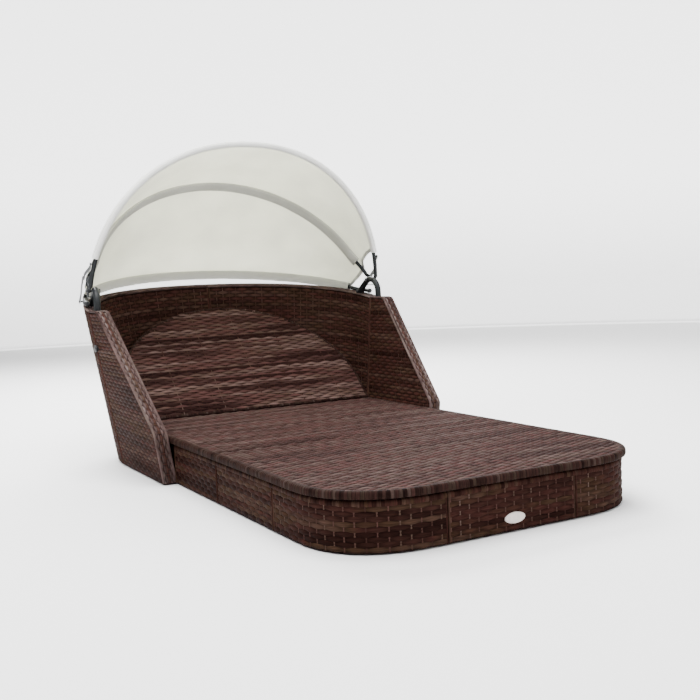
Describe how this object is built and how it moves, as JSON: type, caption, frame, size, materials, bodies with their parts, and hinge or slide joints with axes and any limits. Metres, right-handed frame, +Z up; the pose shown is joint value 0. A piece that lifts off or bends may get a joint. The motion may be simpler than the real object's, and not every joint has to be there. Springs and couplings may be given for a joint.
{
  "type": "outdoor daybed",
  "caption": "Two-person outdoor daybed of woven resin strand with a tilting backrest, curved walls and a folding fabric canopy on tubular bows.",
  "frame": {"origin": "middle of the footprint, on the floor", "axes": "+X across the bed, +Y from the foot end to the head end, +Z up"},
  "size_m": [1.1608, 2.1902, 1.114],
  "materials": {
    "weave": "flat woven resin strand, satin",
    "weave_deck": "flat woven resin strand, mottled",
    "steel_dark": "dark grey powder coat",
    "zinc_bar": "dull zinc",
    "black_plastic": "moulded",
    "canopy_cloth": "tight plain weave",
    "badge_metal": "bare satin plate"
  },
  "bodies": {
    "daybed": {"deck_front": "weave_deck", "deck_rear": "weave_deck", "skirt_front": "weave", "skirt_corner_right": "weave", "skirt_corner_left": "weave", "skirt_side_front_right": "weave", "skirt_side_front_left": "weave", "skirt_side_rear_right": "weave", "skirt_side_rear_left": "weave", "badge_plate": "badge_metal", "front_frame": "steel_dark", "rear_frame": "steel_dark", "module_link_right": "zinc_bar", "module_link_left": "zinc_bar", "foot_front_left": "black_plastic", "foot_front_right": "black_plastic", "foot_middle_left": "black_plastic", "foot_middle_right": "black_plastic", "foot_seat_left": "black_plastic", "foot_seat_right": "black_plastic", "foot_hinge_left": "black_plastic", "foot_hinge_right": "black_plastic", "foot_rear_left": "black_plastic", "foot_rear_right": "black_plastic", "hinge_rod": "zinc_bar", "hinge_bracket_right": "steel_dark", "hinge_bracket_left": "steel_dark", "notch_rail_right": "zinc_bar", "notch_rail_left": "zinc_bar", "side_panel_right": "weave", "side_panel_left": "weave", "back_panel_right": "weave", "back_panel_left": "weave", "back_joining_plate": "steel_dark", "canopy_arch_right": "steel_dark", "canopy_arch_left": "steel_dark", "rear_bow": "steel_dark", "bow_cap_right": "black_plastic", "bow_cap_left": "black_plastic", "rear_bow_spacer_right": "black_plastic", "rear_bow_spacer_left": "black_plastic", "rear_bow_bolt_right": "zinc_bar", "rear_bow_bolt_left": "zinc_bar", "hub_plate_right": "steel_dark", "hub_plate_left": "steel_dark", "hub_bolt_right": "zinc_bar", "hub_bolt_left": "zinc_bar", "canopy_cloth_rear": "canopy_cloth"},
    "mid_bow": {"middle_bow": "steel_dark", "canopy_cloth_front": "canopy_cloth"},
    "front_bow": {"front_bow": "steel_dark"},
    "upper_stay_right": {"stay_upper_right": "zinc_bar"},
    "upper_stay_left": {"stay_upper_left": "zinc_bar"},
    "lower_stay_right": {"stay_lower_right": "zinc_bar"},
    "lower_stay_left": {"stay_lower_left": "zinc_bar"},
    "backrest": {"backrest_panel": "weave", "backrest_frame": "steel_dark"},
    "prop": {"backrest_prop": "zinc_bar"},
    "knob_right": {"clamp_knob_right": "black_plastic"},
    "knob_left": {"clamp_knob_left": "black_plastic"}
  },
  "joints": [
    {"name": "mid_bow_fold", "type": "hinge", "parent": "daybed", "child": "mid_bow", "pos_m": [0, 0.57236, 0.606], "axis": [1, 0, 0], "range_deg": [-43, 0], "deforming": ["canopy_cloth_rear"]},
    {"name": "front_bow_fold", "type": "hinge", "parent": "mid_bow", "child": "front_bow", "pos_m": [0, 0.57236, 0.606], "axis": [1, 0, 0], "range_deg": [-43.5, 0], "deforming": ["canopy_cloth_front"]},
    {"name": "upper_stay_pivot_right", "type": "hinge", "parent": "front_bow", "child": "upper_stay_right", "pos_m": [0, 0.53346, 0.697], "axis": [1, 0, 0], "range_deg": [-74.33, 0]},
    {"name": "elbow_right", "type": "hinge", "parent": "upper_stay_right", "child": "lower_stay_right", "pos_m": [0, 0.57736, 0.652], "axis": [1, 0, 0], "range_deg": [0, 144.73]},
    {"name": "upper_stay_pivot_left", "type": "hinge", "parent": "front_bow", "child": "upper_stay_left", "pos_m": [0, 0.53346, 0.697], "axis": [1, 0, 0], "range_deg": [-74.33, 0]},
    {"name": "elbow_left", "type": "hinge", "parent": "upper_stay_left", "child": "lower_stay_left", "pos_m": [0, 0.57736, 0.652], "axis": [1, 0, 0], "range_deg": [0, 144.73]},
    {"name": "backrest_tilt", "type": "hinge", "parent": "daybed", "child": "backrest", "pos_m": [0, 0.50493, 0.13509], "axis": [1, 0, 0], "range_deg": [0, 24]},
    {"name": "prop_fold", "type": "hinge", "parent": "backrest", "child": "prop", "pos_m": [0, 0.66451, 0.28653], "axis": [1, 0, 0], "range_deg": [-48.5, 0]},
    {"name": "knob_turn_right", "type": "hinge", "parent": "daybed", "child": "knob_right", "pos_m": [0.53192, 0.51736, 0.412], "axis": [0.9903, 0, -0.1386], "range_deg": [0, 720]},
    {"name": "knob_turn_left", "type": "hinge", "parent": "daybed", "child": "knob_left", "pos_m": [-0.53192, 0.51736, 0.412], "axis": [-0.9903, 0, -0.1386], "range_deg": [0, 720]}
  ],
  "couplings": [
    {"joint": "front_bow_fold", "follows": "mid_bow_fold", "ratio": 1},
    {"joint": "upper_stay_pivot_right", "follows": "mid_bow_fold", "ratio": 1.7171},
    {"joint": "elbow_right", "follows": "mid_bow_fold", "ratio": -3.3542},
    {"joint": "upper_stay_pivot_left", "follows": "mid_bow_fold", "ratio": 1.7171},
    {"joint": "elbow_left", "follows": "mid_bow_fold", "ratio": -3.3542},
    {"joint": "prop_fold", "follows": "backrest_tilt", "ratio": -2}
  ]
}
